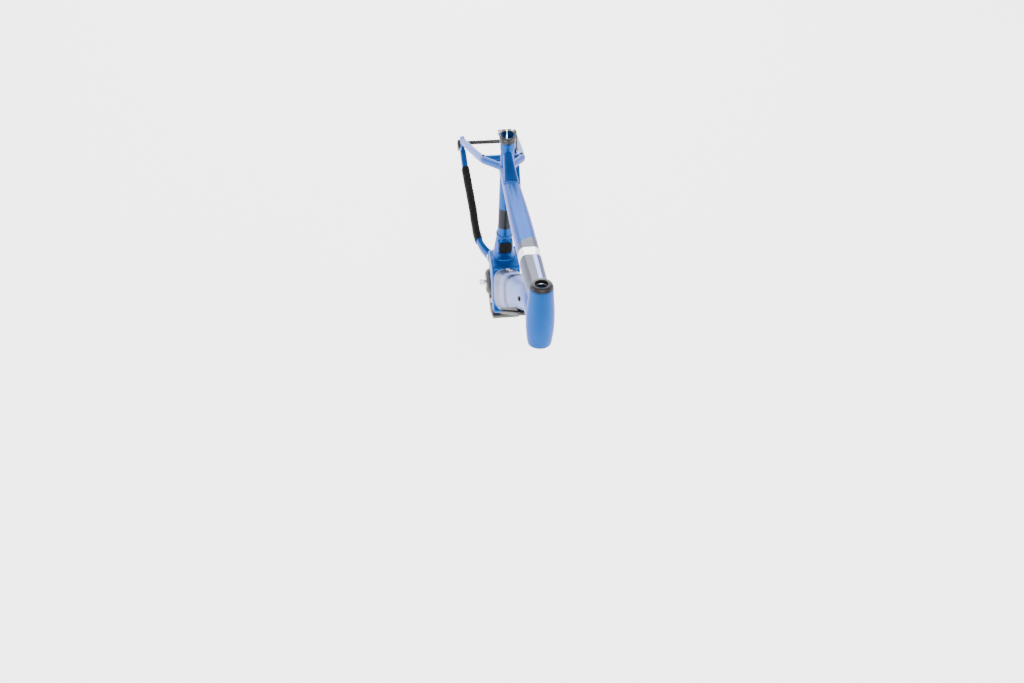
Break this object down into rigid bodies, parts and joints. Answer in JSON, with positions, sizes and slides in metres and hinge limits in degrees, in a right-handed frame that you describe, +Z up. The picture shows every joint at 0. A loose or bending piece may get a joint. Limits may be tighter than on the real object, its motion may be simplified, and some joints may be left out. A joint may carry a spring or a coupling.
{
  "type": "bicycle frame",
  "caption": "Welded hardtail frame for an electric mountain bike, with mid drive unit, swing-out down tube battery, headset bearings, seat clamp and rear through axle.",
  "frame": {"origin": "centre of the crank spindle", "axes": "+X forward along the bicycle, +Y to the rider left, +Z up, with the wheels level"},
  "size_m": [0.9928, 0.1863, 0.768],
  "materials": {
    "blue_paint": "satin metallic blue paint over aluminium",
    "black_anodised": "black anodised",
    "polished_steel": "ground and polished",
    "grey_plastic": "fine texture, dark grey",
    "black_plastic": "fine texture, black",
    "black_rubber": "matte",
    "cast_housing": "black painted casting"
  },
  "bodies": {
    "frame": {"battery_connector": "black_plastic", "battery_lock_housing": "black_plastic", "battery_pivot_pin": "polished_steel", "bottle_bolt_1": "polished_steel", "bottle_bolt_2": "polished_steel", "brake_mount": "blue_paint", "cable_port_left": "black_rubber", "cable_port_right": "black_rubber", "chainstay_left": "blue_paint", "chainstay_protector": "black_rubber", "chainstay_right": "blue_paint", "charge_socket": "black_plastic", "clamp_skewer": "polished_steel", "derailleur_hanger": "black_anodised", "down_tube": "blue_paint", "drive_unit_bolt_left_1": "polished_steel", "drive_unit_bolt_left_2": "polished_steel", "drive_unit_bolt_right_1": "polished_steel", "drive_unit_bolt_right_2": "polished_steel", "drive_unit_left_half": "cast_housing", "drive_unit_right_half": "cast_housing", "dropout_left": "blue_paint", "dropout_right": "blue_paint", "head_tube": "blue_paint", "headset_lower_outer_race": "polished_steel", "headset_upper_outer_race": "polished_steel", "motor_bracket": "blue_paint", "motor_guard": "grey_plastic", "seat_clamp_collar": "black_anodised", "seat_tube": "blue_paint", "seat_tube_gusset": "blue_paint", "seatstay_bridge": "blue_paint", "seatstay_left": "blue_paint", "seatstay_right": "blue_paint", "spindle_bearing_left": "polished_steel", "spindle_bearing_right": "polished_steel", "stay_eyelet_bolt_left": "black_anodised", "stay_eyelet_bolt_right": "black_anodised", "top_tube": "blue_paint"},
    "charge_cap": {"charge_port_cap": "black_rubber"},
    "clamp_lever": {"quick_release_lever": "black_anodised"},
    "clamp_nut_body": {"clamp_nut": "polished_steel"},
    "upper_bearing_inner": {"headset_upper_inner_race": "polished_steel", "headset_dust_cover": "black_anodised"},
    "lower_bearing_inner": {"headset_lower_inner_race": "polished_steel"},
    "thru_axle": {"rear_thru_axle": "black_anodised"},
    "spindle": {"crank_spindle": "polished_steel"},
    "battery": {"battery_case": "black_plastic", "battery_cover": "grey_plastic"},
    "lock_cylinder": {"battery_lock_cylinder": "polished_steel"},
    "lock_bolt": {"battery_lock_bolt": "polished_steel"}
  },
  "joints": [
    {"name": "charge_cap_hinge", "type": "hinge", "parent": "frame", "child": "charge_cap", "pos_m": [-0.01599, 0.018, 0.14938], "axis": [-0.2756, 0, 0.9613], "range_deg": [0, 110]},
    {"name": "clamp_lever_hinge", "type": "hinge", "parent": "frame", "child": "clamp_lever", "pos_m": [-0.1624, 0.021, 0.47202], "axis": [0.9075, 0, 0.42], "range_deg": [0, 170]},
    {"name": "clamp_nut_turn", "type": "hinge", "parent": "frame", "child": "clamp_nut_body", "pos_m": [-0.1624, 0, 0.47202], "axis": [0, 1, 0], "continuous": true},
    {"name": "upper_bearing_turn", "type": "hinge", "parent": "frame", "child": "upper_bearing_inner", "pos_m": [0.42911, 0, 0.67337], "axis": [-0.3923, 0, 0.9198], "continuous": true},
    {"name": "lower_bearing_turn", "type": "hinge", "parent": "frame", "child": "lower_bearing_inner", "pos_m": [0.48404, 0, 0.5446], "axis": [-0.3923, 0, 0.9198], "continuous": true},
    {"name": "thru_axle_slide", "type": "slide", "parent": "frame", "child": "thru_axle", "axis": [0, 1, 0], "range_m": [0, 0.19]},
    {"name": "spindle_turn", "type": "hinge", "parent": "frame", "child": "spindle", "pos_m": [0, 0, 0], "axis": [0, 1, 0], "continuous": true},
    {"name": "battery_hinge", "type": "hinge", "parent": "frame", "child": "battery", "pos_m": [0.13422, 0, 0.08363], "axis": [0, 1, 0], "range_deg": [0, 20]},
    {"name": "lock_cylinder_turn", "type": "hinge", "parent": "frame", "child": "lock_cylinder", "pos_m": [0.33204, 0, 0.46601], "axis": [0, 1, 0], "range_deg": [-90, 0]},
    {"name": "lock_bolt_slide", "type": "slide", "parent": "frame", "child": "lock_bolt", "axis": [0.5023, 0, 0.8647], "range_m": [-0.0091, 0]}
  ],
  "couplings": [
    {"joint": "lock_bolt_slide", "follows": "lock_cylinder_turn", "m_per_rad": 0.00573}
  ]
}
